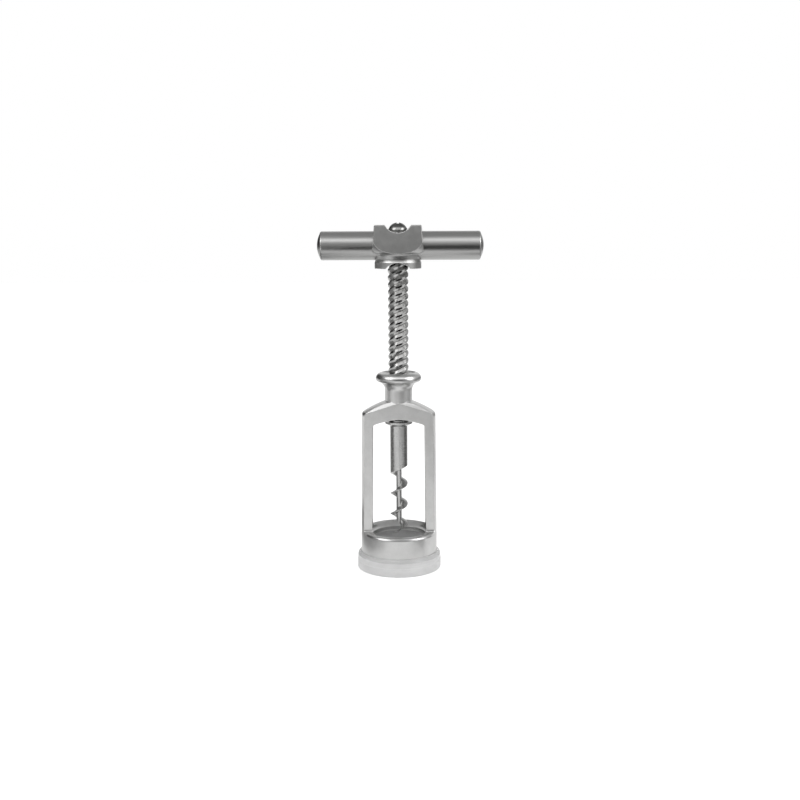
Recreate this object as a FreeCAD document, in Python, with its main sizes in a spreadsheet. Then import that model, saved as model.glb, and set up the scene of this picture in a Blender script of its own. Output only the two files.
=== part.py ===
import FreeCAD, Part
import math
import os
import Sketcher

# Open cage corkscrew with a T handle, a three start screw spindle and an auger worm.
# Millimetres, Z up. The origin is on the spindle axis at the underside of the foot,
# +X runs along the handle bar and -Y is the front of the cage.

os.makedirs("parts", exist_ok=True)
doc = FreeCAD.newDocument("corkscrew")
dims = doc.addObject("Spreadsheet::Sheet", "dims")

driving = [
    # bottle guide
    ("foot_base", 6.0),
    ("foot_wall", 1.95),
    ("foot_step", 0.2),
    ("foot_step_height", 4.2),
    ("foot_straight", 6.3),
    ("foot_lip", 2.5),
    ("foot_lip_width", 0.45),
    ("foot_round", 2.6),
    ("foot_edge", 0.5),
    ("guide_radius", 15.5),
    ("guide_lead_in", 1.2),
    ("guide_fit", 0.05),
    ("guide_gap", 0.1),
    # ring of the cage
    ("ring_radius", 18.8),
    ("ring_wall", 1.8),
    ("ring_height", 13.0),
    ("ring_shoulder_drop", 1.6),
    ("ring_shoulder_width", 1.9),
    ("ring_shoulder_round", 1.8),
    ("hole_radius", 13.2),
    ("funnel_depth", 2.4),
    ("funnel_round", 7.0),
    ("ledge_thickness", 2.0),
    # legs and crown of the cage
    ("frame_depth", 13.6),
    ("leg_radius_low", 18.75),
    ("leg_radius_high", 18.1),
    ("leg_wall_low", 3.85),
    ("leg_wall_high", 3.7),
    ("window_height", 56.35),
    ("cavity_peak", 0.6),
    ("cavity_drop", 2.8),
    ("window_round", 1.8),
    ("crown_thickness", 8.5),
    ("shoulder_drop", 5.9),
    ("shoulder_round", 2.0),
    ("shoulder_curve", 57.0),
    ("gable_peak", 0.55),
    ("gable_drop", 6.3),
    ("gable_tilt", 55.0),
    ("gable_depth", 2.0),
    ("leg_root_round", 1.6),
    ("leg_root_sink", 0.2),
    ("leg_root_reach", 3.8),
    # neck and collar
    ("neck_radius", 6.7),
    ("neck_height", 5.4),
    ("flare_round", 4.3),
    ("flare_height", 4.2),
    ("flare_reach", 3.5),
    ("bead_radius", 11.15),
    ("bead_low", 1.4),
    ("bead_low_round", 1.5),
    ("bead_high", 2.95),
    ("bead_high_round", 3.0),
    ("rim_radius", 8.3),
    ("dish_depth", 1.2),
    ("dish_round", 4.0),
    ("nut_radius", 6.0),
    ("nut_height", 6.6),
    ("nut_flush", 0.1),
    # screw thread
    ("thread_radius", 4.95),
    ("thread_root", 4.1),
    ("thread_lead", 10.4),
    ("thread_crest", 0.75),
    ("thread_end_radius", 4.05),
    ("thread_start", 10.0),
    ("thread_clearance", 0.15),
    ("neck_clearance", 0.2),
    # handle hub
    ("stroke", 50.4),
    ("hub_height", 20.6),
    ("hub_half_low", 12.85),
    ("hub_half_high", 11.2),
    ("hub_barrel", 11.25),
    ("hub_barrel_height", 2.9),
    ("hub_cove", 11.0),
    ("hub_cove_height", 5.4),
    ("hub_cove_round", 3.2),
    ("hub_waist", 11.5),
    ("hub_waist_height", 6.9),
    ("hub_round", 7.2),
    ("hub_corner", 16.6),
    ("hub_corner_height", 13.3),
    ("saddle_radius", 7.15),
    ("saddle_depth", 3.7),
    ("arch_depth", 2.9),
    ("hub_edge", 0.5),
    # handle bar and its screw
    ("bar_radius", 6.9),
    ("bar_length", 80.0),
    ("bar_offset", 1.15),
    ("bar_drop", 9.7),
    ("bar_dome", 1.5),
    ("bar_edge", 0.9),
    ("bar_cap", 12.75),
    ("screw_radius", 2.0),
    ("screw_length", 20.0),
    ("screw_head", 4.6),
    ("screw_head_height", 5.0),
    ("screw_head_side", 1.5),
    ("screw_head_round", 4.85),
    ("screw_seat", 4.8),
    ("screw_recess", 2.2),
    ("screw_recess_width", 1.1),
    ("screw_recess_depth", 2.0),
    ("tang_side", 6.4),
    ("tang_height", 5.5),
    ("tang_seat", 0.6),
    ("fit", 0.05),
    # claw clutch inside the end of the spindle
    ("socket_radius", 3.4),
    ("socket_depth", 10.0),
    ("bush_flange", 4.8),
    ("bush_flange_thickness", 0.8),
    ("bush_length", 6.0),
    ("claw_height", 0.7),
    ("claw_inner", 2.6),
    ("claw_angle", 40.0),
    ("claw_gap", 0.2),
    ("claw_root", 0.1),
    ("stem_radius", 2.0),
    ("stem_groove", 1.45),
    ("stem_end", 1.1),
    ("washer_radius", 3.25),
    ("washer_thickness", 0.5),
    ("clip_radius", 3.1),
    ("clip_thickness", 0.6),
    ("clip_mouth", 2.4),
    # worm
    ("disc_radius", 6.75),
    ("disc_thickness", 0.9),
    ("disc_cone", 1.3),
    ("shank_radius", 4.3),
    ("shank_length", 19.85),
    ("shank_slant", 3.4),
    ("core_radius", 1.35),
    ("core_point", 2.0),
    ("core_drop", 29.9),
    ("worm_pitch", 10.4),
    ("worm_root", 3.0),
    ("worm_crest", 0.3),
    ("worm_drop", 30.0),
    ("worm_turns", 2.75),
    ("tip_turn", 0.38),
    ("tip_radius", 4.1),
]
for row, (alias, value) in enumerate(driving, start=1):
    dims.set(f"A{row}", alias)
    dims.set(f"B{row}", str(value))
    dims.setAlias(f"B{row}", alias)
doc.recompute()


# Words of the sheet as an expression of it.
def sheet(text):
    return " ".join("dims." + word if word[0].isalpha() else word for word in text.split())


# Value of such an expression, for geometry made before it is bound.
def level(text):
    return float(dims.evalExpression(sheet(text)))


# Levels that more than one piece shares, from the foot upwards.
foot_radius = "( ring_radius + foot_wall )"
ring_top = "( foot_base + ring_height )"
hole_edge = f"( {ring_top} - funnel_depth )"
ledge = f"( {hole_edge} - ledge_thickness )"
window_top = f"( {ring_top} + window_height )"
neck_base = f"( {window_top} + crown_thickness )"
neck_top = f"( {neck_base} + neck_height )"
flare_top = f"( {neck_top} + flare_height )"
bead_level = f"( {flare_top} + bead_low )"
rim_top = f"( {bead_level} + bead_high )"
dish_floor = f"( {rim_top} - dish_depth )"
nut_base = f"( {dish_floor} - nut_flush - nut_height )"
thread_base = f"( {window_top} + cavity_peak )"
hub_base = f"( {rim_top} + stroke )"
hub_top = f"( {hub_base} + hub_height )"
bar_level = f"( {hub_top} - bar_drop )"
arch_top = f"( {hub_base} + arch_depth )"
thread_end = f"( {arch_top} + tang_seat )"
tang_top = f"( {thread_end} + tang_height )"
screw_seat_level = f"( {hub_top} - saddle_depth )"
screw_end = f"( {screw_seat_level} - screw_length )"
claw_root_level = f"( {thread_base} - bush_flange_thickness )"
claw_tip = f"( {claw_root_level} - claw_height )"
disc_top = f"( {claw_tip} - claw_gap - claw_height )"
disc_low = f"( {disc_top} - disc_thickness )"
bush_top = f"( {thread_base} + bush_length )"
clip_low = f"( {bush_top} + washer_thickness )"
clip_top = f"( {clip_low} + clip_thickness )"
shank_end = f"( {disc_low} - disc_cone - shank_length )"
worm_low = f"( {shank_end} - worm_drop )"


def plane(body, role):
    return [part for part in body.Origin.OriginFeatures if part.Role == role][0]


def newSketch(body, name, role, offset="0"):
    sketch = body.newObject("Sketcher::SketchObject", name)
    sketch.AttachmentSupport = [(plane(body, role), "")]
    sketch.MapMode = "FlatFace"
    if offset != "0":
        sketch.setExpression("AttachmentOffset.Base.z", sheet(offset))
    return sketch


# Arc from start to end that bulges to the right of its chord, or to the left, and which end
# of it is the start: arcs run counterclockwise, so a concave one is drawn backwards.
def arcBetween(start, end, radius, convex):
    if not convex:
        start, end = end, start
    chord = end - start
    side = FreeCAD.Vector(-chord.y, chord.x, 0).normalize()
    centre = (start + end) / 2 + side * math.sqrt(radius**2 - chord.Length**2 / 4)
    angles = [math.atan2(point.y - centre.y, point.x - centre.x) for point in (start, end)]
    circle = Part.Circle(centre, FreeCAD.Vector(0, 0, 1), radius)
    return Part.ArcOfCircle(circle, angles[0], angles[1]), 1 if convex else 2


# Closed outline through corners given as words of the sheet, counterclockwise. A corner with
# a third entry is reached by an arc of that radius: convex, or concave with a fourth entry.
def outline(sketch, corners):
    first = sketch.GeometryCount
    points = [FreeCAD.Vector(level(corner[0]), level(corner[1]), 0) for corner in corners]
    count = len(corners)
    starts = []
    for i in range(count):
        start = points[i]
        end = points[(i + 1) % count]
        target = corners[(i + 1) % count]
        if len(target) > 2:
            segment, first_end = arcBetween(start, end, level(target[2]), len(target) == 3)
        else:
            segment, first_end = Part.LineSegment(start, end), 1
        sketch.addGeometry(segment, False)
        starts.append(first_end)
    for i in range(count):
        here = first + i
        after = first + (i + 1) % count
        sketch.addConstraint(
            Sketcher.Constraint("Coincident", here, 3 - starts[i], after, starts[(i + 1) % count])
        )
        pin(sketch, here, starts[i], corners[i])
        target = corners[(i + 1) % count]
        if len(target) > 2:
            bind(sketch, Sketcher.Constraint("Radius", here, level(target[2])), target[2])


# Holds one end of a segment at a corner's place.
def pin(sketch, segment, end, corner):
    for kind, axis, text in (("DistanceX", -2, corner[0]), ("DistanceY", -1, corner[1])):
        if text == "0":
            sketch.addConstraint(Sketcher.Constraint("PointOnObject", segment, end, axis))
        else:
            bind(sketch, Sketcher.Constraint(kind, -1, 1, segment, end, level(text)), text)


def bind(sketch, constraint, text):
    index = sketch.addConstraint(constraint)
    sketch.setExpression(f"Constraints[{index}]", sheet(text))


def newBody(name):
    return doc.addObject("PartDesign::Body", name)


def revolve(body, name, corners, kind="PartDesign::Revolution"):
    sketch = newSketch(body, name + "_outline", "XZ_Plane")
    outline(sketch, corners)
    feature = body.newObject(kind, name)
    feature.Profile = sketch
    feature.ReferenceAxis = (plane(body, "Z_Axis"), [""])
    feature.Angle = 360
    doc.recompute()
    return feature


# Names of the edges of a feature that a test picks.
def edgesWhere(feature, test):
    edges = feature.Shape.Edges
    return [f"Edge{i}" for i, edge in enumerate(edges, start=1) if test(edge)]


def dress(body, name, kind, base, edges, text):
    feature = body.newObject("PartDesign::" + kind, name)
    feature.Base = (base, edges)
    feature.setExpression("Radius" if kind == "Fillet" else "Size", sheet(text))
    doc.recompute()
    return feature


# Cage: a turned bell with its collar, milled flat front and back, on a turned ring.
def makeCageFrame():
    body = newBody("cage_casting")
    shoulder_level = f"( {neck_base} - shoulder_drop )"
    bore = "( thread_radius + neck_clearance )"
    bell = revolve(
        body,
        "bell",
        [
            ("leg_radius_low - leg_wall_low", hole_edge),
            ("leg_radius_low", hole_edge),
            ("leg_radius_high", shoulder_level),
            ("neck_radius", neck_base, "shoulder_curve"),
            ("neck_radius", neck_top),
            ("neck_radius + flare_reach", flare_top, "flare_round", "concave"),
            ("bead_radius", bead_level, "bead_low_round"),
            ("rim_radius", rim_top, "bead_high_round"),
            ("nut_radius", dish_floor, "dish_round", "concave"),
            ("nut_radius", nut_base),
            (bore, nut_base),
            (bore, f"{window_top} + cavity_peak"),
            ("leg_radius_high - leg_wall_high", f"{window_top} - cavity_drop"),
        ],
    )

    def atCircle(radius, height):
        return lambda edge: (
            edge.Curve.TypeId == "Part::GeomCircle"
            and abs(edge.Curve.Radius - level(radius)) < 1e-4
            and abs(edge.Curve.Center.z - level(height)) < 1e-4
        )

    outside = edgesWhere(bell, atCircle("leg_radius_high", shoulder_level))
    rounded = dress(body, "shoulder", "Fillet", bell, outside, "shoulder_round")
    inside = edgesWhere(
        rounded, atCircle("leg_radius_high - leg_wall_high", f"{window_top} - cavity_drop")
    )
    rounded = dress(body, "window_corner", "Fillet", rounded, inside, "window_round")

    # Each flat curves out into the ring at the root of the legs.
    near = "( frame_depth / 2 )"
    far = "( leg_radius_low + foot_base )"
    curved = f"( {near} + leg_root_round )"
    reach = f"( {near} + leg_root_reach )"
    root_low = f"{ring_top} - leg_root_sink"
    root_high = f"{root_low} + leg_root_round"
    root_end = f"{ring_top} - ring_shoulder_drop"
    sketch = newSketch(body, "flats_outline", "YZ_Plane")
    outline(
        sketch,
        [
            (near, root_high),
            (curved, root_low, "leg_root_round"),
            (reach, root_end),
            (reach, ledge),
            (far, ledge),
            (far, neck_base),
            (near, neck_base),
        ],
    )
    outline(
        sketch,
        [
            (f"0 - {far}", neck_base),
            (f"0 - {far}", ledge),
            (f"0 - {reach}", ledge),
            (f"0 - {reach}", root_end),
            (f"0 - {curved}", root_low),
            (f"0 - {near}", root_high, "leg_root_round"),
            (f"0 - {near}", neck_base),
        ],
    )
    flats = body.newObject("PartDesign::Pocket", "flats")
    flats.Profile = sketch
    flats.Midplane = True
    flats.setExpression("Length", sheet("2 * leg_radius_low + 2 * foot_base"))
    doc.recompute()
    assert flats.Shape.Volume < rounded.Shape.Volume

    revolve(
        body,
        "ring",
        [
            ("ring_radius - ring_wall", "foot_base"),
            ("ring_radius", "foot_base"),
            ("ring_radius", f"{ring_top} - ring_shoulder_drop"),
            ("ring_radius - ring_shoulder_width", ring_top, "ring_shoulder_round"),
            ("hole_radius", hole_edge, "funnel_round", "concave"),
            ("hole_radius", ledge),
            ("ring_radius - ring_wall", ledge),
        ],
    )
    bevels = []
    for front in (-1, 1):
        for side in (-1, 1):
            bevels.append(gableBevel(f"gable_bevel_{len(bevels) + 1}", front, side))
    bevelled = cutAll("cage_bevelled", body, bevels)
    neck = newBody("neck_turning")
    neck_low = f"{neck_base} - gable_peak - gable_depth"
    corners = [(bore, neck_low), ("neck_radius", neck_low), ("neck_radius", neck_top), (bore, neck_top)]
    revolve(neck, "neck_sleeve", corners)
    return joinAll("cage_frame", bevelled, [neck])


# Tool that bevels one slope of the crown: its lowest face tilts back from the flat and holds
# the straight line on the flat from the gable's peak down to the leg.
def gableBevel(name, front, side):
    tool = doc.addObject("Part::Box", name)
    half = level("frame_depth / 2")
    peak = FreeCAD.Vector(0, front * half, level(f"{neck_base} - gable_peak"))
    foot = FreeCAD.Vector(
        side * level("leg_radius_high"), front * half, level(f"{neck_base} - gable_drop")
    )
    along = (foot - peak).normalize()
    outward = FreeCAD.Vector(0, front, 0)
    upward = FreeCAD.Vector(-along.z * side, 0, along.x * side)
    tilt = math.radians(level("gable_tilt"))
    normal = outward * math.sin(tilt) + upward * math.cos(tilt)
    across = normal.cross(along)
    turn = FreeCAD.Matrix(
        along.x, across.x, normal.x, 0, along.y, across.y, normal.y, 0, along.z, across.z, normal.z, 0, 0, 0, 0, 1
    )
    tool.Length = level("leg_radius_high + foot_base")
    tool.Width = level("frame_depth")
    tool.Height = level("gable_depth")
    corner = peak - across * half
    tool.Placement = FreeCAD.Placement(corner, FreeCAD.Rotation(turn))
    return tool


# Screw thread: one helical groove for each start, cut into the body's last feature.
def cutThread(body, name, groove, height):
    sketch = newSketch(body, name + "_groove", "XZ_Plane")
    outline(sketch, groove)
    helix = body.newObject("PartDesign::SubtractiveHelix", name)
    helix.Profile = sketch
    helix.ReferenceAxis = (plane(body, "Z_Axis"), [""])
    helix.Mode = "pitch-height-angle"
    helix.setExpression("Pitch", sheet("thread_lead"))
    helix.setExpression("Height", sheet(height))
    doc.recompute()
    starts = body.newObject("PartDesign::PolarPattern", name + "_starts")
    starts.Originals = [helix]
    starts.Axis = (plane(body, "Z_Axis"), [""])
    starts.Angle = 360
    starts.Occurrences = 3
    body.Tip = starts
    doc.recompute()
    return starts


def cylinder(name, radius, base, top):
    rod = doc.addObject("Part::Cylinder", name)
    rod.setExpression("Radius", sheet(radius))
    rod.setExpression("Placement.Base.z", sheet(base))
    rod.setExpression("Height", sheet(f"{top} - ( {base} )"))
    return rod


# Takes each tool in turn out of a blank. The last cut carries the piece's name.
def cutAll(name, blank, tools):
    for i, tool in enumerate(tools, start=1):
        last = i == len(tools)
        cut = doc.addObject("Part::Cut", name if last else f"{name}_cut_{i}")
        cut.Base = blank
        cut.Tool = tool
        blank = cut
    return blank


# Threaded bush that sits in the dish of the collar.
def makeNutBush():
    body = newBody("nut_bush")
    bore = "thread_radius + thread_clearance"
    revolve(
        body,
        "nut_blank",
        [
            (bore, nut_base),
            ("nut_radius", nut_base),
            ("nut_radius", f"{nut_base} + nut_height"),
            (bore, f"{nut_base} + nut_height"),
        ],
    )
    return body


# Adds each piece in turn to a blank. The last join carries the piece's name.
def joinAll(name, blank, additions):
    for i, addition in enumerate(additions, start=1):
        last = i == len(additions)
        join = doc.addObject("Part::Fuse", name if last else f"{name}_join_{i}")
        join.Base = blank
        join.Tool = addition
        blank = join
    return blank


def box(name, sides, base):
    block = doc.addObject("Part::Box", name)
    for side, text in zip(("Length", "Width", "Height"), sides):
        block.setExpression(side, sheet(text))
    for axis, text in zip("xyz", base):
        block.setExpression(f"Placement.Base.{axis}", sheet(text))
    return block


# Square bar on the axis, for the tang and its socket.
def squareBar(name, side, base, top):
    half = f"0 - ( {side} ) / 2"
    return box(name, (side, side, f"{top} - {base}"), (half, half, base))


# Multi start spindle with a square tang above and a socket for the clutch below.
def makeSpindle():
    body = newBody("spindle_turning")
    revolve(
        body,
        "spindle_rod",
        [
            ("0", thread_base),
            ("thread_end_radius", thread_base),
            ("thread_end_radius", f"{thread_base} + thread_start"),
            ("thread_radius", f"{thread_base} + thread_start"),
            ("thread_radius", thread_end),
            ("0", thread_end),
        ],
    )
    turns_below = math.ceil(level(f"{nut_base} - {thread_base} - thread_start") / level("thread_lead")) + 1
    start = f"( {nut_base} - {turns_below} * thread_lead )"
    middle = f"( {start} + thread_lead / 6 )"
    half = "( ( thread_lead / 3 - thread_crest ) / 2 )"
    groove = [
        ("thread_root", middle),
        ("thread_radius + thread_clearance", f"{middle} - {half} - thread_clearance"),
        ("thread_radius + thread_clearance", f"{middle} + {half} + thread_clearance"),
    ]
    cutThread(body, "spindle_thread", groove, f"{thread_end} - {start} + thread_lead")
    tang = squareBar("spindle_tang", "tang_side", thread_end, tang_top)
    blank = joinAll("spindle_blank", body, [tang])
    socket = cylinder("spindle_socket", "socket_radius", thread_base, f"{thread_base} + socket_depth")
    tapped = cylinder("spindle_tapping", "screw_radius + fit", f"{screw_end} - tang_seat", tang_top)
    return cutAll("spindle", blank, [socket, tapped])


# Drill that lies across the hub, along X or along Y.
def crossDrill(name, radius, height, along):
    drill = doc.addObject("Part::Cylinder", name)
    drill.Placement.Rotation = FreeCAD.Rotation(FreeCAD.Vector(0, 0, 1), FreeCAD.Vector(*along))
    reach = "2 * hub_corner"
    drill.setExpression("Radius", sheet(radius))
    drill.setExpression("Height", sheet(f"2 * {reach}"))
    for axis, part in zip("xy", along):
        if part:
            drill.setExpression(f"Placement.Base.{axis}", sheet(f"0 - {reach}"))
    drill.setExpression("Placement.Base.z", sheet(height))
    return drill


# Hub: a square block above, turned below, with a saddle over the screw and an arch under it.
def makeHandleHub():
    body = newBody("hub_turning")
    revolve(
        body,
        "hub_round_form",
        [
            ("0", hub_base),
            ("hub_barrel", hub_base),
            ("hub_barrel", f"{hub_base} + hub_barrel_height"),
            ("hub_cove", f"{hub_base} + hub_cove_height", "hub_cove_round", "concave"),
            ("hub_waist", f"{hub_base} + hub_waist_height", "hub_cove_round", "concave"),
            ("hub_corner", f"{hub_base} + hub_corner_height", "hub_round"),
            ("hub_corner", hub_top),
            ("0", hub_top),
        ],
    )
    block = doc.addObject("Part::Wedge", "hub_block")
    block.Placement.Rotation = FreeCAD.Rotation(FreeCAD.Vector(1, 0, 0), 90)
    for low, high, text in (
        ("Xmin", "Xmax", "hub_half_low"),
        ("Zmin", "Zmax", "hub_half_low"),
        ("X2min", "X2max", "hub_half_high"),
        ("Z2min", "Z2max", "hub_half_high"),
    ):
        block.setExpression(low, sheet(f"0 - {text}"))
        block.setExpression(high, sheet(text))
    block.setExpression("Ymin", sheet(hub_base))
    block.setExpression("Ymax", sheet(hub_top))
    form = doc.addObject("Part::Common", "hub_form")
    form.Base = block
    form.Tool = body
    doc.recompute()
    top = level(hub_top)
    lean = 1.01
    corners = []
    for i, edge in enumerate(form.Shape.Edges, start=1):
        limits = edge.BoundBox
        upright = limits.ZLength > level("hub_barrel_height") and limits.DiagonalLength < limits.ZLength * lean
        rim = limits.ZMin > top - 1e-3
        if upright or rim:
            corners.append((i, level("hub_edge"), level("hub_edge")))
    eased = doc.addObject("Part::Fillet", "hub_eased")
    eased.Base = form
    eased.Edges = corners
    saddle = crossDrill("hub_saddle", "saddle_radius", f"{screw_seat_level} + saddle_radius", (0, 1, 0))
    arch = crossDrill("hub_arch", "saddle_radius", f"{arch_top} - saddle_radius", (0, 1, 0))
    bore = crossDrill("hub_bore", "bar_radius + fit", bar_level, (1, 0, 0))
    seat = cylinder("hub_screw_seat", "screw_seat", screw_seat_level, f"{hub_top} + saddle_depth")
    hole = cylinder("hub_screw_hole", "screw_radius + fit", bar_level, hub_top)
    entry = cylinder("hub_spindle_entry", "thread_radius + fit", hub_base, thread_end)
    socket = squareBar("hub_socket", "tang_side + 2 * fit", hub_base, bar_level)
    return cutAll("handle_hub", eased, [saddle, arch, bore, seat, hole, entry, socket])


# Handle bar: a plain rod with domed ends, drilled across for the tang and the screw.
def makeHandleBar():
    body = newBody("bar_rod")
    left = "bar_offset - bar_length / 2"
    right = "bar_offset + bar_length / 2"
    sketch = newSketch(body, "bar_outline", "XZ_Plane")
    outline(
        sketch,
        [
            (left, "0", "bar_cap"),
            (right, "0"),
            (f"{right} - bar_dome", "bar_radius - bar_edge", "bar_cap"),
            (f"{right} - bar_dome - bar_edge", "bar_radius", "bar_edge"),
            (f"{left} + bar_dome + bar_edge", "bar_radius"),
            (f"{left} + bar_dome", "bar_radius - bar_edge", "bar_edge"),
        ],
    )
    rod = body.newObject("PartDesign::Revolution", "bar_turning")
    rod.Profile = sketch
    rod.ReferenceAxis = (plane(body, "X_Axis"), [""])
    rod.Angle = 360
    body.setExpression("Placement.Base.z", sheet(bar_level))
    flat = cylinder("bar_spot_face", "screw_seat", screw_seat_level, f"{hub_top}")
    hole = cylinder("bar_screw_hole", "screw_radius + fit", hub_base, hub_top)
    half = "( tang_side + 2 * fit ) / 2"
    socket = squareBar("bar_socket", "tang_side + 2 * fit", hub_base, f"{tang_top} + tang_seat")
    return cutAll("handle_bar", body, [flat, hole, socket])


# Screw with a domed head and a cross recess, down through the bar into the spindle.
def makeHubScrew():
    body = newBody("screw_turning")
    revolve(
        body,
        "screw_form",
        [
            ("0", screw_end),
            ("screw_radius", screw_end),
            ("screw_radius", screw_seat_level),
            ("screw_head", screw_seat_level),
            ("screw_head", f"{screw_seat_level} + screw_head_side"),
            ("0", f"{screw_seat_level} + screw_head_height", "screw_head_round"),
        ],
    )
    top = f"( {screw_seat_level} + screw_head_height )"
    floor = f"{top} - screw_recess_depth"
    arms = []
    for name, long, wide in (
        ("screw_slot_1", "2 * screw_recess", "screw_recess_width"),
        ("screw_slot_2", "screw_recess_width", "2 * screw_recess"),
    ):
        base = (f"0 - ( {long} ) / 2", f"0 - ( {wide} ) / 2", floor)
        arms.append(box(name, (long, wide, "screw_recess_depth + screw_recess_depth"), base))
    return cutAll("hub_screw", body, arms)


# Ring of claws on a body: one sector of a turned ring, repeated round the axis.
def addClaws(body, name, corners, start):
    sketch = newSketch(body, name + "_outline", "XZ_Plane")
    sketch.AttachmentOffset.Rotation = FreeCAD.Rotation(FreeCAD.Vector(0, 1, 0), start)
    outline(sketch, corners)
    claw = body.newObject("PartDesign::Revolution", name)
    claw.Profile = sketch
    claw.ReferenceAxis = (plane(body, "Z_Axis"), [""])
    claw.Midplane = True
    claw.setExpression("Angle", sheet("claw_angle"))
    doc.recompute()
    ring = body.newObject("PartDesign::PolarPattern", name + "_ring")
    ring.Originals = [claw]
    ring.Axis = (plane(body, "Z_Axis"), [""])
    ring.Angle = 360
    ring.Occurrences = 4
    body.Tip = ring
    return ring


# Clutch bush screwed into the end of the spindle, with claws that point down.
def makeClutchBush():
    body = newBody("clutch_bush")
    bore = "stem_radius + fit"
    revolve(
        body,
        "bush",
        [
            (bore, claw_root_level),
            ("bush_flange", claw_root_level),
            ("bush_flange", thread_base),
            ("socket_radius - fit / 2", thread_base),
            ("socket_radius - fit / 2", bush_top),
            (bore, bush_top),
        ],
    )
    outer = "bush_flange"
    addClaws(
        body,
        "bush_claw",
        [
            ("claw_inner", claw_tip),
            (outer, claw_tip),
            (outer, f"{claw_root_level} + claw_root"),
            ("claw_inner", f"{claw_root_level} + claw_root"),
        ],
        45,
    )
    return body


def makeThrustWasher():
    body = newBody("thrust_washer")
    bore = "stem_radius + fit"
    corners = [(bore, bush_top), ("washer_radius", bush_top), ("washer_radius", clip_low), (bore, clip_low)]
    revolve(body, "washer", corners)
    return body


# Snap clip in the groove of the worm's stem, open on one side.
def makeStemClip():
    body = newBody("clip_ring")
    bore = "stem_groove + fit"
    corners = [(bore, clip_low), ("clip_radius", clip_low), ("clip_radius", clip_top), (bore, clip_top)]
    revolve(body, "clip_form", corners)
    mouth = box(
        "clip_gap",
        ("clip_radius + fit", "clip_mouth", "2 * clip_thickness"),
        ("0", "0 - clip_mouth / 2", f"{clip_low} - clip_thickness / 2"),
    )
    return cutAll("stem_clip", body, [mouth])


# Worm: stem, clawed disc and shank turned in one, then the core and the flight round it.
def makeWorm():
    body = newBody("worm_body")
    revolve(
        body,
        "worm_form",
        [
            ("0", f"{shank_end} - shank_slant"),
            ("shank_radius", f"{shank_end} - shank_slant"),
            ("shank_radius", f"{disc_low} - disc_cone"),
            ("disc_radius", disc_low),
            ("disc_radius", disc_top),
            ("stem_radius", disc_top),
            ("stem_radius", f"{clip_low} - fit"),
            ("stem_groove", f"{clip_low} - fit"),
            ("stem_groove", clip_top),
            ("stem_radius", clip_top),
            ("stem_radius", f"{clip_top} + stem_end"),
            ("0", f"{clip_top} + stem_end"),
        ],
    )
    claws = addClaws(
        body,
        "worm_claw",
        [
            ("claw_inner", f"{disc_top} - claw_root"),
            ("bush_flange", f"{disc_top} - claw_root"),
            ("bush_flange", f"{disc_top} + claw_height"),
            ("claw_inner", f"{disc_top} + claw_height"),
        ],
        0,
    )
    sketch = newSketch(body, "shank_end_outline", "XZ_Plane")
    outline(
        sketch,
        [
            ("0 - 2 * shank_radius", f"{shank_end} - 3 * shank_slant"),
            ("2 * shank_radius", f"{shank_end} - 3 * shank_slant"),
            ("2 * shank_radius", f"{shank_end} + shank_slant / 2"),
            ("0 - 2 * shank_radius", f"{shank_end} - 3 * shank_slant / 2"),
        ],
    )
    slant = body.newObject("PartDesign::Pocket", "shank_end_cut")
    slant.Profile = sketch
    slant.Midplane = True
    slant.setExpression("Length", sheet("4 * shank_radius"))
    doc.recompute()
    assert slant.Shape.Volume < claws.Shape.Volume

    point = f"{shank_end} - core_drop"
    revolve(
        body,
        "worm_core",
        [
            ("0", point),
            ("core_radius", f"{point} + core_point"),
            ("core_radius", shank_end),
            ("0", shank_end),
        ],
    )

    profile = newSketch(body, "flight_outline", "XZ_Plane")
    inner = "core_radius / 2"
    outline(
        profile,
        [
            (inner, f"{worm_low} - worm_root / 2"),
            ("shank_radius", f"{worm_low} - worm_crest / 2"),
            ("shank_radius", f"{worm_low} + worm_crest / 2"),
            (inner, f"{worm_low} + worm_root / 2"),
        ],
    )
    flight = body.newObject("PartDesign::AdditiveHelix", "worm_flight")
    flight.Profile = profile
    flight.ReferenceAxis = (plane(body, "Z_Axis"), [""])
    flight.Mode = "pitch-height-angle"
    flight.setExpression("Pitch", sheet("worm_pitch"))
    flight.setExpression("Height", sheet("worm_turns * worm_pitch"))
    body.Tip = flight
    doc.recompute()
    return joinAll("worm", body, [makeWormTip()])


# Sharp end of the flight: sections that shrink towards its rim while they follow the helix.
def makeWormTip():
    sections = []
    steps = 8
    for i in range(steps + 1):
        share = i / steps
        turn = -2 * math.pi * level("tip_turn") * share
        height = level(worm_low) - level("tip_turn * worm_pitch") * share
        outer = level("shank_radius") + (level("tip_radius") - level("shank_radius")) * share
        inner = level("core_radius / 2") + (outer - level("worm_crest") - level("core_radius / 2")) * share
        root = level("worm_root / 2") * (1 - share) + level("worm_crest / 4") * share
        crest = level("worm_crest / 2") * (1 - share / 2)
        corners = [(inner, -root), (outer, -crest), (outer, crest), (inner, root), (inner, -root)]
        wire = [
            FreeCAD.Vector(r * math.cos(turn), r * math.sin(turn), height + z) for r, z in corners
        ]
        sections.append(Part.makePolygon(wire))
    tip = doc.addObject("Part::Feature", "worm_tip")
    tip.Shape = Part.makeLoft(sections, True, False)
    return tip


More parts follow.
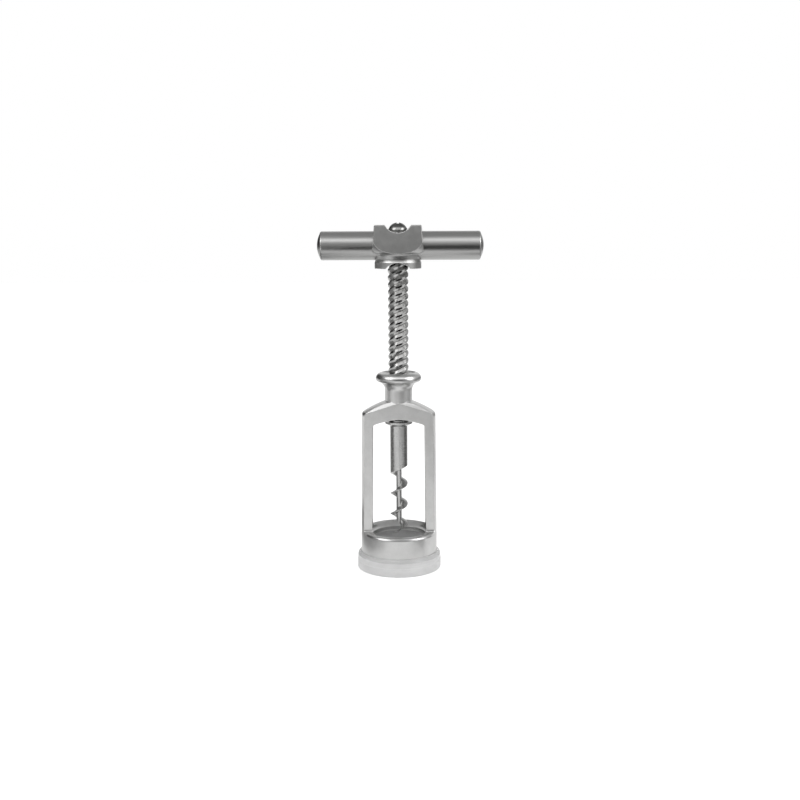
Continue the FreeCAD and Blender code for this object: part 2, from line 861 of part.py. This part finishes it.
# Clear plastic guide that clips over the ring, takes the bottle's neck and is the foot.
def makeBottleGuide():
    body = newBody("bottle_guide")
    sleeve = "( ring_radius - ring_wall - guide_fit )"
    top = f"{ledge} - guide_gap"
    revolve(
        body,
        "guide",
        [
            ("guide_radius + guide_lead_in", "0"),
            (f"{foot_radius} - foot_edge", "0"),
            (foot_radius, "foot_edge", "foot_edge"),
            (foot_radius, "foot_step_height"),
            (f"{foot_radius} - foot_step", "foot_step_height"),
            (f"{foot_radius} - foot_step", "foot_straight"),
            ("ring_radius + foot_lip_width", "foot_base + foot_lip", "foot_round"),
            ("ring_radius + guide_fit", "foot_base + foot_lip"),
            ("ring_radius + guide_fit", "foot_base"),
            (sleeve, "foot_base"),
            (sleeve, top),
            ("guide_radius", top),
            ("guide_radius", "guide_lead_in"),
        ],
    )
    return body


made = [
    makeBottleGuide(),
    makeCageFrame(),
    makeNutBush(),
    makeSpindle(),
    makeHandleHub(),
    makeHandleBar(),
    makeHubScrew(),
    makeClutchBush(),
    makeThrustWasher(),
    makeStemClip(),
    makeWorm(),
]
doc.recompute()
for thing in doc.Objects:
    if "Invalid" in thing.State or "Error" in thing.State:
        raise RuntimeError(f"{thing.Name}: {thing.getStatusString()}")
for piece in made:
    shape = piece.Shape
    if shape.isNull() or not shape.isValid() or len(shape.Solids) != 1:
        raise RuntimeError(f"{piece.Label} isn't one valid solid")
for piece in made:
    piece.Shape.exportStep(f"parts/{piece.Label}.step")
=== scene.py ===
import math

import bpy
from mathutils import Matrix, Vector

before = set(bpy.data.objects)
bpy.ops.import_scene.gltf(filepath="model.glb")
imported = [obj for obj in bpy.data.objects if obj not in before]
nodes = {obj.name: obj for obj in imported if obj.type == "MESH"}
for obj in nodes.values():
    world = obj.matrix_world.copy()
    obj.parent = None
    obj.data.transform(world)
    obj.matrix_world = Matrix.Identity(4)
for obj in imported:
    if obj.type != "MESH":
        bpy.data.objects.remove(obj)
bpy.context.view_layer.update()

# Open cage corkscrew in a small studio: metres, Z up, -Y is the front.

bpy.ops.object.select_all(action="DESELECT")


# Shader helpers.

def addNode(tree, kind, settings=None, values=None):
    node = tree.nodes.new(kind)
    for name, value in (settings or {}).items():
        setattr(node, name, value)
    for socket, value in (values or {}).items():
        node.inputs[socket].default_value = value
    return node


def plug(tree, value, socket):
    if isinstance(value, (int, float)):
        socket.default_value = value
    elif isinstance(value, tuple):
        socket.default_value = (*value, 1)
    else:
        tree.links.new(value, socket)


def mathNode(tree, operation, *terms):
    node = addNode(tree, "ShaderNodeMath", {"operation": operation})
    for socket, term in zip(node.inputs, terms):
        plug(tree, term, socket)
    return node.outputs[0]


def remap(tree, value, low, high, outLow, outHigh):
    node = addNode(tree, "ShaderNodeMapRange", {"interpolation_type": "SMOOTHSTEP"})
    for socket, term in zip(node.inputs, (value, low, high, outLow, outHigh)):
        plug(tree, term, socket)
    return node.outputs["Result"]


def blendColour(tree, mask, first, second):
    node = addNode(tree, "ShaderNodeMix", {"data_type": "RGBA"})
    plug(tree, mask, node.inputs["Factor"])
    plug(tree, first, node.inputs[6])
    plug(tree, second, node.inputs[7])
    return node.outputs[2]


# A group with named number sockets: the group, its inner inputs, its inner outputs.
def newGroup(name, inputs, outputs):
    group = bpy.data.node_groups.new(name, "ShaderNodeTree")
    number = "NodeSocketFloat"
    for socket, value in inputs:
        made = group.interface.new_socket(name=socket, in_out="INPUT", socket_type=number)
        made.default_value = value
    for socket in outputs:
        group.interface.new_socket(name=socket, in_out="OUTPUT", socket_type=number)
    inside = group.nodes.new("NodeGroupInput").outputs
    out = group.nodes.new("NodeGroupOutput").inputs
    return group, inside, out


def useGroup(tree, group, **values):
    node = addNode(tree, "ShaderNodeGroup", {"node_tree": group})
    for socket, value in values.items():
        node.inputs[socket].default_value = value
    return node.outputs


def objectPlace(tree, scale=(1, 1, 1)):
    place = addNode(tree, "ShaderNodeTexCoord").outputs["Object"]
    if scale == (1, 1, 1):
        return place
    mapping = addNode(tree, "ShaderNodeMapping", values={"Scale": scale})
    plug(tree, place, mapping.inputs["Vector"])
    return mapping.outputs["Vector"]


def noise(tree, vector, scale, detail=3.0, roughness=0.55):
    node = addNode(tree, "ShaderNodeTexNoise", values={"Detail": detail, "Roughness": roughness})
    plug(tree, vector, node.inputs["Vector"])
    plug(tree, scale, node.inputs["Scale"])
    return node.outputs["Fac"]


# Distance from the spindle's axis, and height.
def turnedPlace(tree):
    parts = addNode(tree, "ShaderNodeSeparateXYZ")
    plug(tree, objectPlace(tree), parts.inputs[0])
    x, y, z = parts.outputs
    squareX = mathNode(tree, "MULTIPLY", x, x)
    squareY = mathNode(tree, "MULTIPLY", y, y)
    return mathNode(tree, "SQRT", mathNode(tree, "ADD", squareX, squareY)), z


# Sum of two patterns, each with its share.
def sumOf(tree, first, firstShare, second, secondShare):
    return mathNode(tree, "ADD", mathNode(tree, "MULTIPLY", first, firstShare),
                    mathNode(tree, "MULTIPLY", second, secondShare))


# Bright line along sharp edges, broken up by noise: partly wear, partly a painted highlight.
wearAndHighlightLook = {
    "turn": (0.995, 0.86),  # how far the rounded normal turns: no wear or highlight, full wear and highlight
    "breaks": (0.3, 0.62),  # noise levels between thin and full wear and highlight
    "thin": 0.35,
    "samples": 6,
}


def makeEdgeWearAndHighlight(look):
    inputs = [("Width", 0.0004), ("Amount", 1.0), ("Breaks", 900.0)]
    group, inside, out = newGroup("edge wear and painted highlight", inputs, ["Mask"])
    bevel = addNode(group, "ShaderNodeBevel", {"samples": look["samples"]})
    plug(group, inside["Width"], bevel.inputs["Radius"])
    turn = addNode(group, "ShaderNodeVectorMath", {"operation": "DOT_PRODUCT"})
    plug(group, bevel.outputs[0], turn.inputs[0])
    plug(group, addNode(group, "ShaderNodeNewGeometry").outputs["Normal"], turn.inputs[1])
    edge = remap(group, turn.outputs["Value"], *look["turn"], 0.0, 1.0)
    broken = noise(group, objectPlace(group), inside["Breaks"])
    breaks = remap(group, broken, *look["breaks"], look["thin"], 1.0)
    wornAndHighlit = mathNode(group, "MULTIPLY", edge, breaks)
    plug(group, mathNode(group, "MULTIPLY", wornAndHighlit, inside["Amount"]), out["Mask"])
    return group


# Fine skin of a blasted and plated casting: a soft ripple under a fine grain.
skinShares = {
    "grainHeight": 0.35,
    "grainTone": 0.55,
    "rippleTone": 0.45,
}


def makeCastSkin(shares):
    inputs = [("Grain", 4200.0), ("Ripple", 240.0)]
    group, inside, out = newGroup("cast skin", inputs, ["Height", "Tone"])
    grain = noise(group, objectPlace(group), inside["Grain"], 4.0, 0.6)
    ripple = noise(group, objectPlace(group), inside["Ripple"], 2.0, 0.5)
    low = mathNode(group, "MULTIPLY", grain, shares["grainHeight"])
    plug(group, mathNode(group, "ADD", low, ripple), out["Height"])
    tone = sumOf(group, grain, shares["grainTone"], ripple, shares["rippleTone"])
    plug(group, tone, out["Tone"])
    return group


# Lathe lines round the spindle's axis, on walls as well as on faces.
latheShares = {
    "rise": 0.83,  # how much a step up counts against a step out
    "line": 0.6,
    "drift": 0.4,
}


def makeLatheLines(shares):
    inputs = [("Lines", 9000.0), ("Drift", 130.0)]
    group, inside, out = newGroup("lathe lines", inputs, ["Height", "Tone"])
    radius, height = turnedPlace(group)
    along = mathNode(group, "ADD", radius, mathNode(group, "MULTIPLY", height, shares["rise"]))
    line = addNode(group, "ShaderNodeTexNoise", {"noise_dimensions": "1D"},
                   {"Detail": 4.0, "Roughness": 0.7})
    plug(group, along, line.inputs["W"])
    plug(group, inside["Lines"], line.inputs["Scale"])
    drift = noise(group, objectPlace(group), inside["Drift"], 2.0)
    plug(group, line.outputs["Fac"], out["Height"])
    tone = sumOf(group, line.outputs["Fac"], shares["line"], drift, shares["drift"])
    plug(group, tone, out["Tone"])
    return group


# Hair lines along the bar, from the polishing belt.
beltStretch = {
    "fine": (60, 5200, 5200),
    "broad": (22, 900, 900),
}


def makeBeltLines(stretch):
    group, inside, out = newGroup("belt lines", [("Lines", 1.0)], ["Height", "Tone"])
    fine = noise(group, objectPlace(group, stretch["fine"]), inside["Lines"], 3.0, 0.7)
    broad = noise(group, objectPlace(group, stretch["broad"]), inside["Lines"], 2.0, 0.5)
    plug(group, fine, out["Height"])
    plug(group, sumOf(group, fine, 0.5, broad, 0.5), out["Tone"])
    return group


# Touched places: soft patches where the shine is a little duller.
touchFade = 0.2


def makeTouch(fade):
    group, inside, out = newGroup("touch", [("Size", 90.0), ("Cover", 0.5)], ["Mask"])
    patches = noise(group, objectPlace(group), inside["Size"], 3.0, 0.6)
    full = mathNode(group, "ADD", inside["Cover"], fade)
    plug(group, remap(group, patches, inside["Cover"], full, 0.0, 1.0), out["Mask"])
    return group


# Painted shade near the axis, in a thread's roots and a screw's recess: none at the crest.
rootShadeLook = {
    "patches": 420.0,
    "levels": (0.25, 0.7),
    "thin": 0.6,
}


def makeThreadRootShade(look):
    inputs = [("Root", 0.0041), ("Crest", 0.0048)]
    group, inside, out = newGroup("thread root shade", inputs, ["Mask"])
    radius = turnedPlace(group)[0]
    patches = noise(group, objectPlace(group), look["patches"])
    patchy = remap(group, patches, *look["levels"], look["thin"], 1.0)
    root = remap(group, radius, inside["Root"], inside["Crest"], 1.0, 0.0)
    plug(group, mathNode(group, "MULTIPLY", root, patchy), out["Mask"])
    return group


edgeWearAndHighlight = makeEdgeWearAndHighlight(wearAndHighlightLook)
castSkin = makeCastSkin(skinShares)
latheLines = makeLatheLines(latheShares)
beltLines = makeBeltLines(beltStretch)
touch = makeTouch(touchFade)
threadRootShade = makeThreadRootShade(rootShadeLook)
print("shared effects ready")


# A metal: its own pattern drives colour, roughness and bump; edges get bright wear and a painted
# highlight.
toneLevels = (0.3, 0.7)  # pattern levels between the dark and the light colour
roughLevels = (0.25, 0.75)  # pattern levels between the two roughnesses


def newMetal(name, look, pattern, **patternValues):
    material = bpy.data.materials.new(name)
    material.use_nodes = True
    tree = material.node_tree
    shader = tree.nodes["Principled BSDF"]
    shader.inputs["Metallic"].default_value = 1.0
    shape = useGroup(tree, pattern, **patternValues)
    wornAndHighlit = useGroup(tree, edgeWearAndHighlight, Width=look["edgeWidth"], Amount=look["edgeAmount"])["Mask"]
    touched = useGroup(tree, touch, Size=look["touchSize"], Cover=look["touchCover"])["Mask"]
    tone = remap(tree, shape["Tone"], *toneLevels, 0.0, 1.0)
    colour = blendColour(tree, tone, look["dark"], look["light"])
    # Thread roots and recesses near the axis get painted shade: a darker colour, and duller.
    if "root" in look:
        root, crest = look["root"]
        deep = useGroup(tree, threadRootShade, Root=root, Crest=crest)["Mask"]
        colour = blendColour(tree, deep, colour, look["rootShadeColour"])
    # Edges take the edge colour: partly wear, partly a painted highlight.
    colour = blendColour(tree, wornAndHighlit, colour, look["edge"])
    plug(tree, colour, shader.inputs["Base Color"])
    rough = remap(tree, shape["Tone"], *roughLevels, *look["rough"])
    rough = mathNode(tree, "ADD", rough, mathNode(tree, "MULTIPLY", touched, look["touchDull"]))
    if "root" in look:
        rough = mathNode(tree, "ADD", rough, mathNode(tree, "MULTIPLY", deep, look["rootDull"]))
    plug(tree, rough, shader.inputs["Roughness"])
    bump = addNode(tree, "ShaderNodeBump",
                   values={"Strength": look["bump"], "Distance": look["bumpDepth"]})
    plug(tree, shape["Height"], bump.inputs["Height"])
    if "softEdge" in look:
        soft = addNode(tree, "ShaderNodeBevel", {"samples": 8}, {"Radius": look["softEdge"]})
        plug(tree, soft.outputs[0], bump.inputs["Normal"])
    plug(tree, bump.outputs[0], shader.inputs["Normal"])
    return material


def dress(node, material):
    piece = nodes[node]
    for materialSlot in piece.material_slots:
        materialSlot.link = "OBJECT"
        materialSlot.material = material


# The edge colour gives the cage bright edges: partly wear, partly a painted highlight.
cageLook = {
    "dark": (0.49, 0.49, 0.485),
    "light": (0.58, 0.58, 0.575),
    "edge": (0.82, 0.82, 0.81),
    "rough": (0.28, 0.36),
    "bump": 0.35,
    "bumpDepth": 0.00002,
    "edgeWidth": 0.00045,
    "edgeAmount": 0.8,
    "touchSize": 70.0,
    "touchCover": 0.5,
    "touchDull": 0.05,
    "softEdge": 0.00035,
}
dress("cage_frame", newMetal("satin cage", cageLook, castSkin, Grain=4200.0, Ripple=240.0))

# The edge colour and the raised edge amount paint a bright highlight line along the hub face's
# outline, with a little wear.
hubLook = {
    "dark": (0.34, 0.34, 0.335),
    "light": (0.41, 0.41, 0.405),
    "edge": (0.9, 0.9, 0.89),
    "rough": (0.32, 0.40),
    "bump": 0.4,
    "bumpDepth": 0.00002,
    "edgeWidth": 0.0006,
    "edgeAmount": 1.8,
    "touchSize": 110.0,
    "touchCover": 0.5,
    "touchDull": 0.05,
    "softEdge": 0.0003,
}
dress("handle_hub", newMetal("satin hub", hubLook, castSkin, Grain=3800.0, Ripple=320.0))

barLook = {
    "dark": (0.34, 0.34, 0.335),
    "light": (0.40, 0.40, 0.395),
    "edge": (0.7, 0.7, 0.69),
    "rough": (0.27, 0.35),
    "bump": 0.12,
    "bumpDepth": 0.00001,
    "edgeWidth": 0.0004,
    "edgeAmount": 0.6,
    "touchSize": 60.0,
    "touchCover": 0.48,
    "touchDull": 0.05,
}
dress("handle_bar", newMetal("belt polished bar", barLook, beltLines, Lines=1.0))

# Grooves get painted shade from the root colour; crests get bright edges that are partly wear and
# partly a painted highlight.
spindleLook = {
    "dark": (0.37, 0.37, 0.365),
    "light": (0.48, 0.48, 0.475),
    "edge": (0.9, 0.9, 0.89),
    "rough": (0.14, 0.24),
    "bump": 0.2,
    "bumpDepth": 0.00001,
    "edgeWidth": 0.00018,
    "edgeAmount": 0.8,
    "touchSize": 160.0,
    "touchCover": 0.5,
    "touchDull": 0.06,
    "root": (0.0041, 0.0046),
    "rootShadeColour": (0.33, 0.325, 0.32),
    "rootDull": 0.06,
}
dress("spindle", newMetal("rolled screw", spindleLook, latheLines, Lines=5200.0, Drift=260.0))

turnedLook = {
    "dark": (0.42, 0.42, 0.415),
    "light": (0.56, 0.56, 0.555),
    "edge": (0.8, 0.8, 0.79),
    "rough": (0.24, 0.34),
    "bump": 0.3,
    "bumpDepth": 0.00001,
    "edgeWidth": 0.0002,
    "edgeAmount": 0.7,
    "touchSize": 200.0,
    "touchCover": 0.5,
    "touchDull": 0.05,
}
turned = newMetal("turned steel", turnedLook, latheLines, Lines=9000.0, Drift=300.0)
for node in ("nut_bush", "clutch_bush", "thrust_washer", "stem_clip"):
    dress(node, turned)

# The root colour paints shade over the head's middle, leaving a brighter rim.
screwLook = {
    "dark": (0.2, 0.2, 0.195),
    "light": (0.3, 0.3, 0.295),
    "edge": (0.7, 0.7, 0.69),
    "rough": (0.2, 0.3),
    "bump": 0.3,
    "bumpDepth": 0.00001,
    "edgeWidth": 0.00025,
    "edgeAmount": 0.6,
    "touchSize": 260.0,
    "touchCover": 0.5,
    "touchDull": 0.05,
    "root": (0.0038, 0.0044),
    "rootShadeColour": (0.09, 0.09, 0.088),
    "rootDull": 0.1,
}
dress("hub_screw", newMetal("dark screw", screwLook, latheLines, Lines=6500.0, Drift=420.0))

wormLook = {
    "dark": (0.42, 0.42, 0.415),
    "light": (0.52, 0.52, 0.515),
    "edge": (0.88, 0.88, 0.87),
    "rough": (0.24, 0.32),
    "bump": 0.25,
    "bumpDepth": 0.00001,
    "edgeWidth": 0.0002,
    "edgeAmount": 0.7,
    "touchSize": 180.0,
    "touchCover": 0.5,
    "touchDull": 0.05,
}
dress("worm", newMetal("plated worm", wormLook, latheLines, Lines=7000.0, Drift=220.0))
print("metals ready")


# Moulded foot: milky body and a clearer lip, with flow lines and handling marks.
footLook = {
    "clear": (0.88, 0.88, 0.88),
    "cloudy": (0.80, 0.80, 0.80),
    "wornAndHighlit": (0.97, 0.97, 0.97),
    "rough": (0.3, 0.42),
    "ior": 1.4,
    "transmission": 0.3,
    "flow": 160.0,
    "flowStretch": (1, 1, 2.5),
    "flowLevels": (0.35, 0.7),
    "roughLevels": (0.3, 0.9),
    "markSize": 240.0,
    "markCover": 0.52,
    "markShare": 0.25,
    "edgeWidth": 0.0003,
    "edgeAmount": 0.6,
    "lipHeight": (0.0064, 0.0072),
    "lipRadius": (0.0178, 0.0184),
    "lipAlpha": 0.5,
    "bodyAlpha": 0.92,
    "bump": 0.4,
    "bumpDepth": 0.00002,
}


def makeClearPlastic(look):
    material = bpy.data.materials.new("clear moulded foot")
    material.use_nodes = True
    tree = material.node_tree
    shader = tree.nodes["Principled BSDF"]
    shader.inputs["Transmission Weight"].default_value = look["transmission"]
    shader.inputs["IOR"].default_value = look["ior"]
    flow = noise(tree, objectPlace(tree, look["flowStretch"]), look["flow"], 3.0, 0.6)
    marks = useGroup(tree, touch, Size=look["markSize"], Cover=look["markCover"])["Mask"]
    # Edges lighter: partly wear, partly a painted highlight.
    wornAndHighlit = useGroup(tree, edgeWearAndHighlight, Width=look["edgeWidth"], Amount=look["edgeAmount"])["Mask"]
    cloud = remap(tree, flow, *look["flowLevels"], 0.0, 1.0)
    colour = blendColour(tree, cloud, look["clear"], look["cloudy"])
    plug(tree, blendColour(tree, wornAndHighlit, colour, look["wornAndHighlit"]), shader.inputs["Base Color"])
    marked = mathNode(tree, "ADD", flow, mathNode(tree, "MULTIPLY", marks, look["markShare"]))
    rough = remap(tree, marked, *look["roughLevels"], *look["rough"])
    plug(tree, rough, shader.inputs["Roughness"])
    radius, height = turnedPlace(tree)
    lip = mathNode(tree, "MULTIPLY", remap(tree, height, *look["lipHeight"], 0.0, 1.0),
                   remap(tree, radius, *look["lipRadius"], 0.0, 1.0))
    alpha = remap(tree, lip, 0.0, 1.0, look["bodyAlpha"], look["lipAlpha"])
    plug(tree, alpha, shader.inputs["Alpha"])
    bump = addNode(tree, "ShaderNodeBump",
                   values={"Strength": look["bump"], "Distance": look["bumpDepth"]})
    plug(tree, flow, bump.inputs["Height"])
    plug(tree, bump.outputs[0], shader.inputs["Normal"])
    return material


dress("bottle_guide", makeClearPlastic(footLook))
print("foot ready")


# Studio: white floor and world, three soft lamps, and grey cards for the reflections.
studio = {
    "floorSize": 6.0,
    "floorRough": 0.6,
    "floorGloss": 0.1,
    "paper": ((0.54, 0.54, 0.54), (0.56, 0.56, 0.56)),
    "paperGrain": 30.0,
    "floorGlow": 0.68,
    "floorShine": 0.6,
    "worldLevel": 0.62,
}


def makeFloor():
    bpy.ops.mesh.primitive_plane_add(size=studio["floorSize"], location=(0, 0, 0))
    floor = bpy.context.object
    floor.name = "floor"
    material = bpy.data.materials.new("white table")
    material.use_nodes = True
    tree = material.node_tree
    shader = tree.nodes["Principled BSDF"]
    shader.inputs["Roughness"].default_value = studio["floorRough"]
    shader.inputs["Specular IOR Level"].default_value = studio["floorGloss"]
    shader.inputs["Emission Color"].default_value = (1, 1, 1, 1)
    paper = noise(tree, objectPlace(tree), studio["paperGrain"])
    plug(tree, blendColour(tree, paper, *studio["paper"]), shader.inputs["Base Color"])
    path = addNode(tree, "ShaderNodeLightPath").outputs
    seen = mathNode(tree, "MAXIMUM", path["Is Camera Ray"], path["Is Transmission Ray"])
    glow = mathNode(tree, "MULTIPLY", seen, studio["floorGlow"])
    shine = mathNode(tree, "MULTIPLY", path["Is Glossy Ray"], studio["floorShine"])
    plug(tree, mathNode(tree, "MAXIMUM", glow, shine), shader.inputs["Emission Strength"])
    floor.data.materials.append(material)


def makeWorld():
    world = bpy.context.scene.world or bpy.data.worlds.new("studio")
    bpy.context.scene.world = world
    world.use_nodes = True
    tree = world.node_tree
    back = tree.nodes["Background"]
    path = addNode(tree, "ShaderNodeLightPath").outputs
    seen = mathNode(tree, "MAXIMUM", path["Is Camera Ray"],
                    mathNode(tree, "MAXIMUM", path["Is Glossy Ray"], path["Is Transmission Ray"]))
    back.inputs["Color"].default_value = (1, 1, 1, 1)
    plug(tree, remap(tree, seen, 0.0, 1.0, studio["worldLevel"], 1.0), back.inputs["Strength"])


# Corners of a card that stands from start to end, or lies at one height.
def standing(start, end, foot, top):
    return [(*start, foot), (*end, foot), (*end, top), (*start, top)]


def lying(width, depth, height=0.002):
    (left, right), (front, back) = width, depth
    outline = [(left, front), (right, front), (right, back), (left, back)]
    return [(*corner, height) for corner in outline]


# Cards that only shiny surfaces see: corners and grey level.
cards = {
    "wall card": (standing((-1.6, -1.5), (1.6, -1.5), 0.0, 0.8), 0.44),
    "left bar flag": (standing((-0.06, -0.12), (-0.012, -0.12), 0.075, 0.146), 0.0),
    "right bar flag": (standing((0.012, -0.12), (0.12, -0.12), 0.075, 0.161), 0.0),
    "spindle flag": (standing((-0.012, -0.12), (0.012, -0.12), 0.086, 0.15), 0.015),
    "roof card": (lying((-1.5, 1.5), (-0.5, 1.5), 1.3), 0.46),
    "left low card": (standing((-1.3, -0.6), (-0.5, 1.5), 0.0, 0.06), 0.8),
    "left card": (standing((-1.3, -0.6), (-0.5, 1.5), 0.06, 0.9), 0.03),
    "left front card": (standing((-0.9, -1.4), (-0.7, -0.25), 0.0, 0.075), 1.0),
    "left cap card": (standing((-0.9, -1.4), (-0.7, -0.25), 0.075, 0.3), 0.25),
    "right front card": (standing((0.16, -1.2), (0.7, -0.7), 0.0, 0.35), 0.14),
    "right leg card": (lying((0.017, 0.08), (-0.5, -0.2)), 0.3),
    "right ring card": (lying((0.045, 0.13), (-0.1, -0.02)), 0.24),
    "right neck card": (lying((0.15, 0.75), (-0.65, 0.25)), 0.44),
    "left ring card": (lying((-0.165, -0.044), (-0.11, 0.1)), 0.34),
    "left shank card": (lying((-0.5, -0.17), (-0.1, 0.1)), 0.12),
    "right card": (standing((1.3, -0.2), (0.7, 1.5), 0.0, 0.3), 0.2),
    "right high card": (standing((1.3, -0.2), (0.7, 1.5), 0.3, 0.9), 0.6),
}


# A plane's own vertices run row by row, so the last two are swapped.
def makeCard(name, corners, grey):
    bpy.ops.mesh.primitive_plane_add(size=1)
    card = bpy.context.object
    card.name = name
    for vertex, corner in zip((0, 1, 3, 2), corners):
        card.data.vertices[vertex].co = corner
    material = bpy.data.materials.new(name)
    material.use_nodes = True
    shader = material.node_tree.nodes["Principled BSDF"]
    shader.inputs["Base Color"].default_value = (0, 0, 0, 1)
    shader.inputs["Specular IOR Level"].default_value = 0.0
    shader.inputs["Emission Color"].default_value = (grey, grey, grey, 1)
    shader.inputs["Emission Strength"].default_value = 1.0
    card.data.materials.append(material)
    card.visible_camera = False
    card.visible_diffuse = False
    card.visible_transmission = False
    card.visible_shadow = False


lamps = {
    "front strip": {
        "place": (0, -0.85, 1.05),
        "aim": (0, 0, 0.1),
        "size": (1.4, 0.45),
        "power": 1.9,
    },
    "left box": {
        "place": (-0.8, -0.5, 0.8),
        "aim": (0, 0, 0.08),
        "size": (0.6, 0.6),
        "power": 4,
    },
    "right box": {
        "place": (0.9, -0.4, 0.7),
        "aim": (0, 0, 0.08),
        "size": (0.6, 0.6),
        "power": 5,
    },
}


def makeLamp(name, place, aim, size, power):
    bpy.ops.object.light_add(type="AREA", location=place)
    lamp = bpy.context.object
    lamp.name = name
    lamp.data.shape = "RECTANGLE"
    lamp.data.size, lamp.data.size_y = size
    lamp.data.energy = power
    towards = Vector(aim) - lamp.location
    lamp.rotation_euler = towards.to_track_quat("-Z", "Y").to_euler()


makeFloor()
makeWorld()
for name, (corners, grey) in cards.items():
    makeCard(name, corners, grey)
for name, values in lamps.items():
    makeLamp(name, **values)
print("studio ready")


# Camera at the photograph's height and distance.
shot = {
    "place": (0.00068, -0.520, 0.166),
    "tilt": 81.04,
    "roll": -0.25,
    "lens": 48.24,
    "sensor": 36,
    "nearest": 0.01,
}
bpy.ops.object.camera_add()
camera = bpy.context.object
camera.data.sensor_width = shot["sensor"]
camera.data.lens = shot["lens"]
camera.data.clip_start = shot["nearest"]
camera.matrix_world = (
    Matrix.Translation(shot["place"])
    @ Matrix.Rotation(math.radians(shot["tilt"]), 4, "X")
    @ Matrix.Rotation(math.radians(shot["roll"]), 4, "Z")
)
bpy.context.scene.camera = camera
bpy.context.scene.view_settings.view_transform = "Standard"
print("camera ready")
